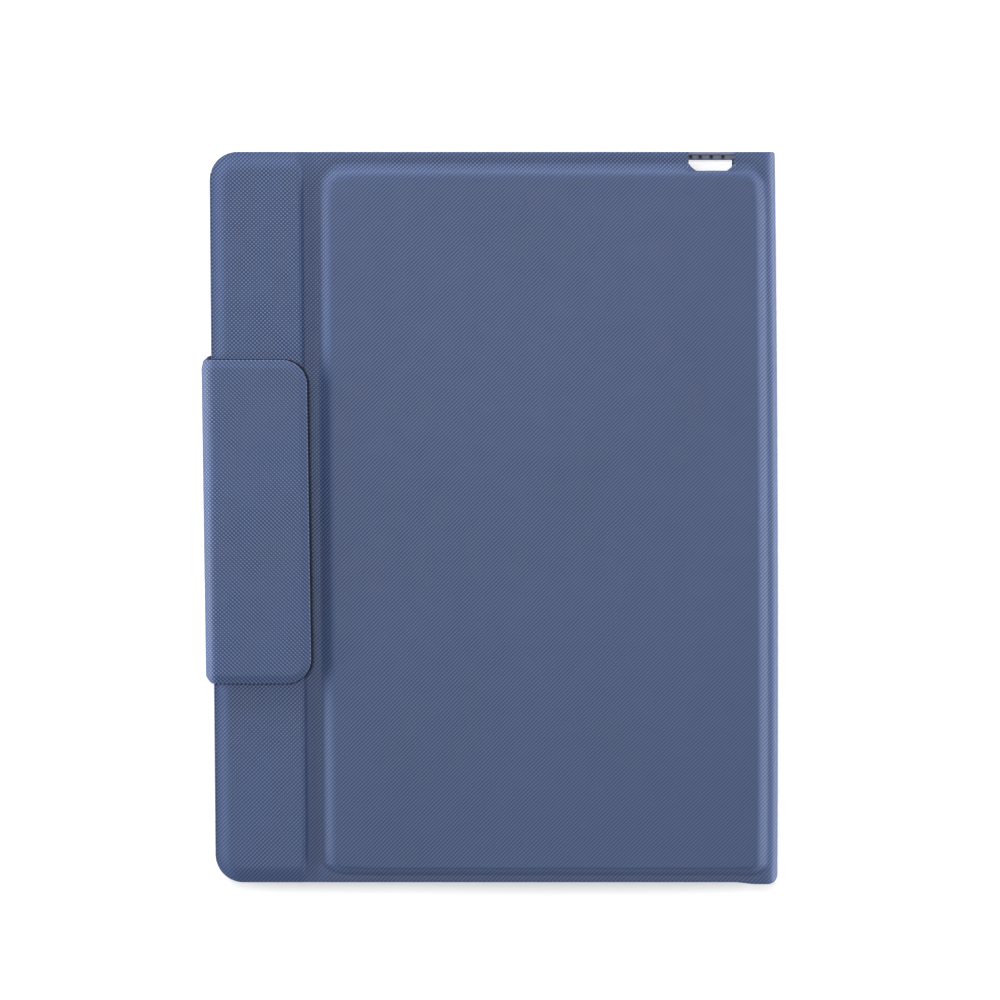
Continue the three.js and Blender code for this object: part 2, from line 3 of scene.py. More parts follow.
import bmesh
import bpy
import numpy as np
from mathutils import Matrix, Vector


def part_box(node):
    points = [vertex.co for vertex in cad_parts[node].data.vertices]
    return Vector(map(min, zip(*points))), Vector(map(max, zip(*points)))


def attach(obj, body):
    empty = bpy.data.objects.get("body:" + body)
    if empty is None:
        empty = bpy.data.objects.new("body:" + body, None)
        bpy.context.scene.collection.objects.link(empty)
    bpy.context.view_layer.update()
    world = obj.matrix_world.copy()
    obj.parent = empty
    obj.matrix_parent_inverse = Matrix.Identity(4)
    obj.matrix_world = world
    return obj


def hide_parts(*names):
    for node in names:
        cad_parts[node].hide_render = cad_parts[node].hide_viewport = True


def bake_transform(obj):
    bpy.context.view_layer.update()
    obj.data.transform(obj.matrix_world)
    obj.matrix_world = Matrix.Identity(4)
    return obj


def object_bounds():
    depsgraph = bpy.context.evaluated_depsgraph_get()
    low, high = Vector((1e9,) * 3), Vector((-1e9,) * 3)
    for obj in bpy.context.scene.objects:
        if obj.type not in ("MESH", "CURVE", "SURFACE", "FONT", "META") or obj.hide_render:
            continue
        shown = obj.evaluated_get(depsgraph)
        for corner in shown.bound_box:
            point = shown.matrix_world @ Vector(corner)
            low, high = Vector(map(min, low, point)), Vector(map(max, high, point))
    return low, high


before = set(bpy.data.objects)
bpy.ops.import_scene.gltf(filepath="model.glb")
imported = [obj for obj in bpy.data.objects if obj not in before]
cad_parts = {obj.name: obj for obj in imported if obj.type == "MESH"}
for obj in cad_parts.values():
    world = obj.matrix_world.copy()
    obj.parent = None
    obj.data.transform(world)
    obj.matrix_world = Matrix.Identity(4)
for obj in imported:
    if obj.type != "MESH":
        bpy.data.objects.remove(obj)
cad_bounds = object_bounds()
mm = 0.001


# ---------- Camera, light and table ----------
# The closed case is seen from straight above with its long side upright. Broad soft boxes stand low on all
# four sides, the near one weakest, so that the bevels catch the light, and the table is nearly white.

case_low, case_high = (np.array(corner) for corner in cad_bounds)
AIM = (3.6 * mm, 6.0 * mm)
VIEW_WIDTH = 353.4 * mm
CAMERA_HEIGHT = 2.0

camera_data = bpy.data.cameras.new("overhead_camera")
camera_data.sensor_width = 36
camera_data.lens = 36 * CAMERA_HEIGHT / VIEW_WIDTH
camera_data.clip_end = 20
camera = bpy.data.objects.new("overhead_camera", camera_data)
camera.location = (AIM[0], AIM[1], case_high[2] - 3 * mm + CAMERA_HEIGHT)
bpy.context.scene.collection.objects.link(camera)
bpy.context.scene.camera = camera


def soft_box(name, place, size, watts, color=(1, 1, 1)):
    """A rectangular light at a place, turned to face the case."""
    data = bpy.data.lights.new(name, "AREA")
    data.shape = "RECTANGLE"
    data.size, data.size_y = size
    data.energy = watts
    data.color = color
    light = bpy.data.objects.new(name, data)
    light.location = place
    toward = Vector((0, 0, 0)) - Vector(place)
    light.rotation_euler = toward.to_track_quat("-Z", "Y").to_euler()
    bpy.context.scene.collection.objects.link(light)


soft_box("left_box", (-1.25, 0.1, 0.2), (1.3, 0.3), 24)
soft_box("right_box", (0.55, 0.0, 0.06), (0.8, 0.08), 5.3, (1.0, 0.98, 0.97))
soft_box("far_box", (-0.1, 1.3, 0.22), (1.5, 0.34), 23.5)
soft_box("near_box", (0.0, -1.3, 0.22), (1.5, 0.34), 3)
soft_box("top_box", (-0.12, 0.32, 1.9), (0.6, 0.6), 20)

world = bpy.data.worlds.new("studio")
world.use_nodes = True
world.node_tree.nodes["Background"].inputs["Color"].default_value = (1, 1, 1, 1)
world.node_tree.nodes["Background"].inputs["Strength"].default_value = 0.22
bpy.context.scene.world = world
bpy.context.scene.view_settings.view_transform = "Standard"


class Value:
    """A number or colour inside a material: operators on it add Math nodes."""

    def __init__(self, shader, socket):
        self.shader = shader
        self.socket = socket

    def maths(self, operation, *values):
        sockets = {i: value for i, value in enumerate(values)}
        return self.shader.node("ShaderNodeMath", {"operation": operation}, sockets)

    def __add__(self, other):
        return self.maths("ADD", self, other)

    def __radd__(self, other):
        return self.maths("ADD", other, self)

    def __sub__(self, other):
        return self.maths("SUBTRACT", self, other)

    def __rsub__(self, other):
        return self.maths("SUBTRACT", other, self)

    def __mul__(self, other):
        return self.maths("MULTIPLY", self, other)

    def __rmul__(self, other):
        return self.maths("MULTIPLY", other, self)

    def __truediv__(self, other):
        return self.maths("DIVIDE", self, other)

    def sine(self):
        return self.maths("SINE", self)

    def absolute(self):
        return self.maths("ABSOLUTE", self)

    def least(self, other):
        return self.maths("MINIMUM", self, other)

    def step(self, edge, softness):
        """0 below the edge and 1 above it, with a smooth change as wide as the softness."""
        return self.shader.node(
            "ShaderNodeMapRange",
            {"interpolation_type": "SMOOTHSTEP"},
            {"Value": self, "From Min": edge - softness / 2, "From Max": edge + softness / 2},
        )


class Shader:
    """A material under construction: one method adds every kind of node."""

    def __init__(self, name, **constants):
        self.material = bpy.data.materials.new(name)
        self.material.use_nodes = True
        self.tree = self.material.node_tree
        self.surface = self.tree.nodes["Principled BSDF"]
        for socket, value in constants.items():
            self.surface.inputs[socket.replace("_", " ")].default_value = value

    def node(self, kind, settings=None, values=None, output=0):
        made = self.tree.nodes.new(kind)
        for name, value in (settings or {}).items():
            setattr(made, name, value)
        for name, value in (values or {}).items():
            self.connect(value, made.inputs[name])
        return Value(self, made.outputs[output])

    def connect(self, value, socket):
        if isinstance(value, Value):
            self.tree.links.new(value.socket, socket)
        else:
            socket.default_value = value

    def finish(self, **values):
        for name, value in values.items():
            self.connect(value, self.surface.inputs[name.replace("_", " ")])
        return self.material

    def place(self, axis=None):
        """Object coordinates in metres, or one of them."""
        whole = self.node("ShaderNodeTexCoord", output="Object")
        if axis is None:
            return whole
        return self.node("ShaderNodeSeparateXYZ", None, {"Vector": whole}, axis)

    def noise(self, size, detail=3, vector=None):
        """Cloudy variation from 0 to 1, with blotches of about that size in metres."""
        vector = vector or self.place()
        values = {"Vector": vector, "Scale": 1 / size, "Detail": detail}
        return self.node("ShaderNodeTexNoise", None, values, "Fac")

    def blend(self, factor, first, second):
        """A colour between two, by a factor."""
        values = {"Factor": factor, 6: first, 7: second}
        return self.node("ShaderNodeMix", {"data_type": "RGBA"}, values, 2)

    def bump(self, height, distance):
        """A normal from a height of 0 to 1 that stands that far out in metres."""
        values = {"Strength": 1.0, "Distance": distance, "Height": height}
        return self.node("ShaderNodeBump", None, values)


def shade(red, green, blue):
    """A display colour of 0 to 255 as the linear colour that shaders use."""
    display = np.array([red, green, blue]) / 255
    linear = np.where(display <= 0.04045, display / 12.92, ((display + 0.055) / 1.055) ** 2.4)
    return (*linear.tolist(), 1.0)


def table_finish():
    """Matt white board that also glows a little, so that it stays white away from the contact shadow."""
    shader = Shader("table_white", Roughness=0.9)
    shader.surface.inputs["Emission Color"].default_value = (1, 1, 1, 1)
    shader.surface.inputs["Emission Strength"].default_value = 0.36
    tone = shader.blend(shader.noise(0.4), (0.86, 0.86, 0.86, 1), (0.9, 0.9, 0.9, 1))
    return shader.finish(Base_Color=tone)


TABLE_REACH = 3.0
TABLE_DROP = 0.2 * mm
table_mesh = bpy.data.meshes.new("table")
table_corners = [(-1, -1), (1, -1), (1, 1), (-1, 1)]
table_mesh.from_pydata(
    [(x * TABLE_REACH, y * TABLE_REACH, -TABLE_DROP) for x, y in table_corners],
    [],
    [(0, 1, 2, 3)],
)
table_mesh.materials.append(table_finish())
table = bpy.data.objects.new("table", table_mesh)
bpy.context.scene.collection.objects.link(table)


# ---------- The cover's skin ----------
# Embossed soft plastic skin, folded round thin boards. It runs in one sheet from the base's free edge under
# the keyboard, up the spine, over the back panel, through the groove and to the strip's free edge.

SKIN = 0.8 * mm
back_low, back_high = (np.array(corner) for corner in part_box("back_skin"))
strip_low, strip_high = (np.array(corner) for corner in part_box("strip_skin"))
base_high = np.array(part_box("base_skin")[1])
spine_low, spine_high = (np.array(corner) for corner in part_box("spine_skin"))
flap_low, flap_high = (np.array(corner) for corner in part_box("flap_skin"))

END = back_high[1]
LEFT = strip_low[0]
RIGHT = spine_high[0]
RIM_TOP = back_low[2] + SKIN
RIM_UNDER = base_high[2] - SKIN
RISE = back_high[2] - RIM_TOP
STRIP_RISE = 1.2 * mm
BEND = 3.0 * mm
BEND_X = RIGHT - BEND
GROOVE_X = (back_low[0] + strip_high[0]) / 2
# A panel's outline, the width of its bevel in mm on the left, right, near and far sides, and how round its
# corners are, in bevel widths.
PANEL = {
    "x": (-60.2 * mm, 98.2 * mm),
    "y": (-126.6 * mm, 125.1 * mm),
    "bevel": (5.6, 4.8, 2.7, 5.4),
    "corner": 1.9,
}
STRIP = {
    "x": (-97.4 * mm, -64.9 * mm),
    "y": (-131.2 * mm, 129.0 * mm),
    "bevel": (5.2, 2.1, 8.0, 6.2),
    "corner": 1.6,
}
UNDER = {
    "x": (-94.6 * mm, 96.3 * mm),
    "y": (-124.5 * mm, 121.9 * mm),
    "bevel": (3.4, 3.4, 3.4, 3.4),
    "corner": 2.0,
}
OUTLINE = {"x": (LEFT, RIGHT + 1), "y": (-END, END), "corner": 10 * mm}
SPINE_CORNERS = (3.6 * mm, 0.9 * mm)
SLOT = {
    "x": (70.65 * mm, 86.8 * mm),
    "shoulder": 124.5 * mm,
    "floor": 122.4 * mm,
    "chamfer": 2.6 * mm,
    "rim": 128.1 * mm,
}
PIP_PITCH = (1.475 * mm, 1.43 * mm)
EDGE_FOLD = 0.5 * mm
CROWN = 0.1 * mm
GROOVE_DEPTH = 0.3 * mm
GROOVE_REACH = 4.5 * mm


def line(start, end, steps):
    """Points (x, z) on a straight line, in even steps."""
    start, end = np.array(start), np.array(end)
    return start + (end - start) * np.linspace(0, 1, steps + 1)[:, None]


def arc(centre, radius, first, last, steps):
    """Points (x, z) on a circle between two angles in degrees, measured from +X towards +Z."""
    angle = np.radians(np.linspace(first, last, steps + 1))
    return np.array(centre) + radius * np.stack([np.cos(angle), np.sin(angle)], axis=1)


def route(*legs):
    """Joins legs into one path in X and Z, walked with the outside on the right hand when seen from -Y.
    Gives the points, the outward normals (the tangent turned a quarter), and the length walked."""
    points = np.concatenate(legs)
    fresh = np.concatenate([[True], np.linalg.norm(np.diff(points, axis=0), axis=1) > 1e-6])
    points = points[fresh]
    ahead = np.diff(points, axis=0)
    lengths = np.linalg.norm(ahead, axis=1)
    tangents = ahead / lengths[:, None]
    middle = tangents[:-1] + tangents[1:]
    middle /= np.linalg.norm(middle, axis=1)[:, None]
    tangents = np.concatenate([tangents[:1], middle, tangents[-1:]])
    normals = np.stack([tangents[:, 1], -tangents[:, 0]], axis=1)
    return points, normals, np.concatenate([[0], np.cumsum(lengths)])


def swell(t):
    """0 to 1 as t goes from 0 to 1, level at both ends: the shoulder of a padded edge."""
    t = np.clip(t, 0, 1)
    return t * t * (3 - 2 * t)


def climbed(x, y, panel):
    """How far points have come up a panel's bevel, from 0 at its foot to 1 or more on top. Each side has a
    bevel of its own width, and at the corners two sides blend along an arc."""
    (x0, x1), (y0, y1), corner = panel["x"], panel["y"], panel["corner"]
    left, right, low, high = (width * mm for width in panel["bevel"])
    across = np.minimum((x - x0) / left, (x1 - x) / right)
    along = np.minimum((y - y0) / low, (y1 - y) / high)
    return corner - np.hypot(np.maximum(corner - across, 0), np.maximum(corner - along, 0))


def inside(x, y, plate):
    """How far points lie inside a plate's outline with round corners; negative outside it."""
    (x0, x1), (y0, y1), r = plate["x"], plate["y"], plate["corner"]
    qx = np.abs(x - (x0 + x1) / 2) - (x1 - x0) / 2 + r
    qy = np.abs(y - (y0 + y1) / 2) - (y1 - y0) / 2 + r
    outside = np.hypot(np.maximum(qx, 0), np.maximum(qy, 0))
    return r - outside - np.minimum(np.maximum(qx, qy), 0)


def turned_edge(depth, radius):
    """How far the face falls at that depth inside a folded edge: a quarter circle at the rim."""
    near = np.clip(radius - depth, 0, radius)
    return radius - np.sqrt(radius**2 - near**2)


def drawn_in(past, radius):
    """How much a straight end is drawn in at a corner's arc, at that distance past the arc's start."""
    return radius - np.sqrt(radius**2 - np.clip(past, 0, radius) ** 2)


def settle(points):
    """The soft edges aren't quite straight in use: the free edge leans by 2 mm over its length, the flap
    outside it by a little more, the spine bows out by half a millimetre, and its near corner sags a little."""
    x, y = points[..., 0], points[..., 1]
    cover_lean = 0.0086 * swell((30 * mm - x) / (130 * mm))
    flap_lean = 0.006 * swell((LEFT + 0.3 * mm - x) / (3 * mm))
    bow = 0.9 * mm * (1 - ((y + 50 * mm) / (160 * mm)) ** 2) - 0.3 * mm
    sag = 0.7 * mm * swell((x - 86 * mm) / (8 * mm)) * swell((-118 * mm - y) / (10 * mm))
    moved = points.copy()
    moved[..., 0] += swell((x - 20 * mm) / (80 * mm)) * bow - (cover_lean + flap_lean) * y
    moved[..., 1] -= sag
    return moved


def thick_sheet(name, points, thickness, keep=None, uv=None, pressed_and_shaded=None):
    """A closed sheet under a grid of points (rows, columns, 3): the outer face, the inner face along the
    vertex normals, and a wall round every open edge. keep says which cells stay, uv gives the weave's own
    coordinates in metres, and the last argument says where the embossing is flatter and the skin darker,
    partly from pressing and partly as painted shade."""
    rows, columns = points.shape[:2]
    index = np.arange(rows * columns).reshape(rows, columns)
    quads = np.stack([index[:-1, :-1], index[:-1, 1:], index[1:, 1:], index[1:, :-1]], axis=-1)
    quads = quads.reshape(-1, 4) if keep is None else quads[keep]
    used, packed = np.unique(quads, return_inverse=True)
    quads = packed.reshape(-1, 4)
    outer = points.reshape(-1, 3)[used]
    diagonals = outer[quads[:, 2]] - outer[quads[:, 0]], outer[quads[:, 3]] - outer[quads[:, 1]]
    facing = np.cross(*diagonals)
    normals = np.zeros_like(outer)
    for corner in range(4):
        np.add.at(normals, quads[:, corner], facing)
    normals /= np.linalg.norm(normals, axis=1)[:, None]
    count = len(outer)
    edges = np.concatenate([np.stack([quads[:, k], quads[:, (k + 1) % 4]], axis=1) for k in range(4)])
    there = edges[:, 0] * count + edges[:, 1]
    back = edges[:, 1] * count + edges[:, 0]
    a, b = edges[~np.isin(there, back)].T
    walls = np.stack([b, a, a + count, b + count], axis=1)
    faces = np.concatenate([quads, quads[:, ::-1] + count, walls])
    mesh = bpy.data.meshes.new(name)
    mesh.from_pydata(np.concatenate([outer, outer - normals * thickness]).tolist(), [], faces.tolist())
    if uv is not None:
        layer = mesh.uv_layers.new(name="weave")
        own = np.tile(uv.reshape(-1, 2)[used], (2, 1))
        layer.data.foreach_set("uv", own[faces.ravel()].astype(np.float32).ravel())
    if pressed_and_shaded is not None:
        layer = mesh.attributes.new("pressed_and_shaded", "FLOAT", "POINT")
        layer.data.foreach_set("value", np.tile(pressed_and_shaded.ravel()[used], 2).astype(np.float32))
    mesh.polygons.foreach_set("use_smooth", np.ones(len(faces), bool))
    mesh.set_sharp_from_angle(angle=math.radians(42))
    return mesh


def place_piece(name, mesh, material):
    """Puts a finished mesh in the scene at the origin with its material."""
    mesh.materials.append(material)
    piece = bpy.data.objects.new(name, mesh)
    bpy.context.scene.collection.objects.link(piece)
    return piece


def sheet_points(path, rows, height, ends):
    """A sheet along a path in X and Z and across in Y. rows are the places in Y from one end of the sheet to
    the other, ends gives its lowest and highest Y at each step of the path, and height lifts it along the
    path's normal. The rows are drawn in evenly where the sheet is shorter than they are. Gives the points
    and the weave's coordinates."""
    flat, normals, length = path
    low, high = ends
    t = (rows - rows[0]) / (rows[-1] - rows[0])
    y = low[:, None] + (high - low)[:, None] * t[None, :]
    lift = height(flat[:, 0:1] + 0 * y, y)
    x = flat[:, 0:1] + normals[:, 0:1] * lift
    z = flat[:, 1:2] + normals[:, 1:2] * lift
    weave = np.stack([length[:, None] + 0 * y, y], axis=-1)
    return np.stack([x, y, z], axis=-1), weave


def fine_line(low, high, fine, coarse=6 * mm):
    """Places from low to high. Each fine stretch (start, end, step) has its own small step, and the rest has
    the coarse one."""
    places = [low]
    for start, end, step in [*fine, (high, high, coarse)]:
        start, end = max(start, low), min(end, high)
        gap = start - places[-1]
        if gap > 1e-6:
            places += np.linspace(places[-1], start, int(np.ceil(gap / coarse)) + 1)[1:].tolist()
        if end - start > 1e-6:
            places += np.linspace(start, end, int(np.ceil((end - start) / step)) + 1)[1:].tolist()
    return np.array(places)


def bevel_rows(panel):
    """Places in Y from end to end that are close on a panel's bevels and at the folded edges."""
    (low, high), (below, above) = panel["y"], panel["bevel"][2:]
    return fine_line(
        -END,
        END,
        [
            (-END, -END + 0.6 * mm, 0.15 * mm),
            (-END + 0.6 * mm, low + (below + 1.5) * mm, 0.33 * mm),
            (high - (above + 1.5) * mm, END - 0.6 * mm, 0.33 * mm),
            (END - 0.6 * mm, END, 0.15 * mm),
        ],
    )


def with_slot(places, own):
    """The same places with the slot's own put in, and without any others that are very near those."""
    far = np.min(np.abs(places[:, None] - own[None, :]), axis=1) > 0.15 * mm
    far[[0, -1]] = True
    return np.unique(np.concatenate([places[far], own]))


def slot_rows(places):
    """Rows for a sheet with the slot: none between the slot's floor and its shoulders."""
    clear = (places <= SLOT["floor"]) | (places > SLOT["shoulder"] + 0.2 * mm)
    return with_slot(places[clear], np.array([SLOT["floor"], SLOT["shoulder"] + 0.2 * mm, SLOT["rim"]]))


def level_leg(first, last, panel, z):
    """A level leg of a path from one x to another, close on a panel's bevels, the free edge and the slot."""
    (x0, x1), (left, right) = panel["x"], panel["bevel"][:2]
    low, high = min(first, last), max(first, last)
    edge = [(low, low + 0.6 * mm, 0.15 * mm)] if abs(low - LEFT) < 1e-6 else []
    round_corner = [(x0 + (left + 1.5) * mm, LEFT + OUTLINE["corner"], 0.9 * mm)] if edge else []
    bevels = [(x0 - 1 * mm, x0 + (left + 1.5) * mm, 0.33 * mm), (x1 - (right + 1.5) * mm, high, 0.33 * mm)]
    x = fine_line(low, high, [*edge, bevels[0], *round_corner, bevels[1]])
    (left, right), chamfer = SLOT["x"], SLOT["chamfer"]
    if low < left and high > right:
        corners = [np.linspace(left, left + chamfer, 5), np.linspace(right - chamfer, right, 5)]
        corners += [[left - 0.6 * mm, right + 0.6 * mm]]
        x = with_slot(x, np.concatenate(corners))
    x = x if last > first else x[::-1]
    return np.stack([x, np.full_like(x, z)], axis=1)


def cover_ends(path, margin=0.0, free_edge=None):
    """Lowest and highest Y along a path: the case's ends, drawn in at the round corners."""
    x = path[0][:, 0]
    cuts = [drawn_in(x - RIGHT + corner, corner) for corner in SPINE_CORNERS]
    if free_edge is not None:
        radius = OUTLINE["corner"] - margin
        cuts = [cut + drawn_in(free_edge + radius - x, radius) for cut in cuts]
    return -END + margin + cuts[0], END - margin - cuts[1]


def cut_slot(points, rows, top, wider=0):
    """Says which cells of a sheet stay round the cable slot, and moves the points beside it onto its
    outline: a straight floor between two chamfers. wider cuts that many more cells at each side."""
    x = points[:, 0, 0]
    left, right = SLOT["x"]
    floor = np.argmin(np.abs(rows - SLOT["floor"]))
    rim = np.argmin(np.abs(rows - top))
    reach = np.minimum(x - left, right - x)
    level = (reach >= -1e-7) & (np.abs(points[:, floor, 0] - x) < 1e-3)
    shoulder = SLOT["shoulder"] - SLOT["floor"]
    if not wider:
        points[level, floor, 1] += shoulder * np.clip(1 - reach[level] / SLOT["chamfer"], 0, 1)
    hole = level[:-1] & level[1:]
    for _ in range(wider):
        hole[:-1] |= hole[1:]
        hole[1:] |= hole[:-1]
    keep = np.ones((points.shape[0] - 1, points.shape[1] - 1), bool)
    keep[hole, floor - wider : rim] = False
    return keep


def embossed_skin(name, dark, light, depth, **constants):
    """Soft plastic embossed with a lattice of pips: the height is (1 + sin a) / 2 times (1 + sin b) / 2, where
    a and b run along the two diagonals. The first is cut deeper, so its furrows show as fine slanting lines
    where the skin has been pressed flatter. Cloudy noise varies the depth. The lattice also paints the colour,
    lighter on the pips and darker in the furrows: a painted highlight and shade of the embossing. Where the
    skin is flatter it is also painted darker, and part of that is painted shade."""
    shader = Shader(name, **constants)
    uv = shader.node("ShaderNodeUVMap", {"uv_map": "weave"})
    u, v = (
        shader.node("ShaderNodeSeparateXYZ", None, {"Vector": uv}, axis) * (2 * math.pi / PIP_PITCH[axis])
        for axis in (0, 1)
    )
    pressed_and_shaded = shader.node("ShaderNodeAttribute", {"attribute_name": "pressed_and_shaded"}, None, "Fac")
    cloud = shader.noise(7 * mm, 3)
    patch = shader.noise(50 * mm, 3)
    grain = shader.noise(0.5 * mm, 2)
    furrow = (u - v + cloud * 0.5).sine() * 0.5 + 0.5
    cross = (u + v + cloud * 0.5).sine() * 0.5 + 0.5
    pips = furrow * (1 - (1 - cross) * (0.95 - pressed_and_shaded * 0.6))
    strength = (1 - pressed_and_shaded * 0.62) * (0.6 + cloud * 0.8)
    # Painted highlight and shade: the colour is lighter on the pips, darker in the furrows, and darker where
    # the skin is flatter, partly as painted shade.
    tone = (pips - 0.3 - pressed_and_shaded * 0.08) * strength * 0.95 + 0.3
    tone = tone + (patch - 0.5) * 0.07 + (grain - 0.5) * 0.16
    color = shader.blend(tone - pressed_and_shaded * 0.08, dark, light)
    height = pips * strength + grain * 0.12
    roughness = 0.5 + (1 - pips) * 0.12 + (cloud - 0.5) * 0.08
    return shader.finish(Base_Color=color, Roughness=roughness, Normal=shader.bump(height, depth))


# The lighter of the two colours is mostly the painted highlight on the pips.
skin_finish = embossed_skin(
    "blue_embossed_skin", shade(31, 45, 79), shade(95, 119, 165), 0.035 * mm, Specular_IOR_Level=0.4
)


def outer_edge(x, y):
    """The face falls at its folded edge, and the border leans down very slightly towards it."""
    depth = inside(x, y, OUTLINE)
    return turned_edge(depth, EDGE_FOLD) + 0.02 * np.clip(5 * mm - depth, 0, 5 * mm)


def crease(up):
    """A shallow crease that the press leaves along the foot of a bevel."""
    return 0.22 * mm * np.exp(-((up / 0.35) ** 2))


# The outer skin is made in three parts, which meet where it stays flat, so the joins don't show.

spine_middle = (spine_low[2] + spine_high[2]) / 2
base_path = route(
    level_leg(LEFT, BEND_X, UNDER, RIM_UNDER),
    arc((BEND_X, RIM_UNDER + BEND), BEND, -90, 0, 12),
    line((RIGHT, RIM_UNDER + BEND), (RIGHT, spine_middle), 8),
)


def under_height(x, y):
    """The base's raised panel, and none on the spine."""
    return RIM_UNDER * swell(climbed(x, y, UNDER)) - turned_edge(inside(x, y, OUTLINE), EDGE_FOLD)


base_rows = slot_rows(bevel_rows(UNDER))
base_ends = cover_ends(base_path, 0, LEFT)
base_points, base_weave = sheet_points(base_path, base_rows, under_height, base_ends)
base_keep = cut_slot(base_points, base_rows, SLOT["rim"])
base_weave[..., 1] = base_points[..., 1]
pressed_and_shaded = swell(climbed(base_points[..., 0], base_points[..., 1], UNDER))
base_cover = place_piece(
    "base_cover",
    thick_sheet("base_cover", settle(base_points), SKIN, base_keep, base_weave, pressed_and_shaded),
    skin_finish,
)
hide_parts("base_skin", "lower_crease")
lower_bend = (BEND_X - 0.4 * mm, 0, RIM_UNDER), (RIGHT, 0, RIM_UNDER + BEND + 0.4 * mm)
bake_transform(base_cover)

groove_end = back_low[0]
SHOULDER = (5.2 * mm, 4.2 * mm)
shoulder_turn = arc((0, 0), 1, 0, 90, 18) * SHOULDER + (RIGHT - SHOULDER[0], RIM_TOP - SHOULDER[1])
back_path = route(
    line((RIGHT, spine_middle), (RIGHT, RIM_TOP - SHOULDER[1]), 8),
    shoulder_turn,
    level_leg(RIGHT - SHOULDER[0], groove_end, PANEL, RIM_TOP),
)


def near_end_shade(y):
    """Painted shade: towards the near end the embossing on the borders and the strip is drawn flatter,
    with fainter pips and a darker colour.
    """
    return 0.6 * swell((-20 * mm - y) / (100 * mm))


def groove_dip(x):
    """The groove's floor lies a little below the border."""
    return GROOVE_DEPTH * swell(1 - np.abs(x - GROOVE_X) / GROOVE_REACH)


def back_height(x, y):
    """The padded back panel: full inside its bevel with a very slight crown, and low near the groove."""
    climb = climbed(x, y, PANEL)
    up = swell(climb)
    crown = CROWN * swell(inside(x, y, {**PANEL, "corner": 7 * mm}) / (40 * mm))
    border = (1 - up) * (outer_edge(x, y) + groove_dip(x)) * (x < BEND_X + 0.5 * mm)
    return (RISE - CROWN) * up + crown - border - crease(climb)


back_rows = slot_rows(bevel_rows(PANEL))
back_points, back_weave = sheet_points(back_path, back_rows, back_height, cover_ends(back_path))
back_weave[..., 0] *= -1
back_keep = cut_slot(back_points, back_rows, END)
back_weave[..., 1] = back_points[..., 1]
back_x, back_y = back_points[..., 0], back_points[..., 1]
# Painted shade: the pips are drawn fainter and the skin darker towards the near end and towards the spine, on
# the border and on the raised panel, which is also pressed flatter.
pressed_and_shaded = 0.3 + near_end_shade(back_y) + 0.45 * swell((back_x - 60 * mm) / (35 * mm))
on_panel = swell(climbed(back_x, back_y, PANEL))
pressed_and_shaded = np.minimum(pressed_and_shaded, 0.95) * (1 - on_panel) + (1 + 2.5 * back_x) * on_panel
back_cover = place_piece(
    "back_cover",
    thick_sheet("back_cover", settle(back_points), SKIN, back_keep, back_weave, pressed_and_shaded),
    skin_finish,
)
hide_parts("back_skin", "spine_skin", "upper_crease")
upper_bend = (RIGHT, 0, RIM_TOP - BEND - 0.4 * mm), (BEND_X - 0.4 * mm, 0, RIM_TOP)
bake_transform(back_cover)

strip_path = route(level_leg(groove_end, LEFT, STRIP, RIM_TOP))


def strip_height(x, y):
    """The raised strip beside the groove."""
    up = swell(climbed(x, y, STRIP))
    beyond = climbed(x, y, PANEL)
    raised = STRIP_RISE * up + (RISE - CROWN) * swell(beyond)
    return raised - (1 - up) * (outer_edge(x, y) + groove_dip(x)) - crease(beyond)


strip_rows = bevel_rows(STRIP)
strip_ends = cover_ends(strip_path, 0, LEFT)
strip_points, strip_weave = sheet_points(strip_path, strip_rows, strip_height, strip_ends)
strip_weave[..., 0] = strip_weave[..., 0] * -1 - back_path[2][-1]
pressed_and_shaded = 0.3 - 0.3 * swell(climbed(strip_points[..., 0], strip_points[..., 1], STRIP) - 0.3)
# Painted shade: the strip's pips are drawn fainter and its skin darker towards the near end.
pressed_and_shaded = pressed_and_shaded + near_end_shade(strip_points[..., 1])
strip_cover = place_piece(
    "strip_cover",
    thick_sheet("strip_cover", settle(strip_points), SKIN, None, strip_weave, pressed_and_shaded),
    skin_finish,
)
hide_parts("strip_skin", "groove_crease")
groove_bend = (back_low[0], 0, RIM_TOP), (strip_high[0], 0, RIM_TOP)
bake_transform(strip_cover)


# ---------- The lining ----------
# Brushed microfibre bonded inside both covers and the spine. It steps in over the spine's board, and is cut
# wide of the cable slot.

LINING = 0.5 * mm
LINING_MARGIN = 0.8 * mm
LINING_DEPTH = SKIN + 0.1 * mm
BOARD_STEP = 1.7 * mm
BOARD_SPAN = (2.9 * mm, 18.4 * mm)


def brushed_cloth(name, dark, light):
    """Short-napped cloth: two sizes of fibre noise vary the colour, the sheen's grain and a soft bump."""
    shader = Shader(name, Sheen_Weight=0.25, Sheen_Roughness=0.5, Specular_IOR_Level=0.2)
    fibre = shader.noise(0.5 * mm, 4)
    nap = shader.noise(14 * mm, 3)
    color = shader.blend(fibre * 0.7 + (nap - 0.35) * 0.5, dark, light)
    return shader.finish(
        Base_Color=color,
        Roughness=0.82 + (fibre - 0.5) * 0.15,
        Normal=shader.bump(fibre * 0.8 + nap * 0.2, 0.12 * mm),
    )


lining_finish = brushed_cloth("blue_grey_lining", shade(40, 48, 68), shade(76, 86, 112))


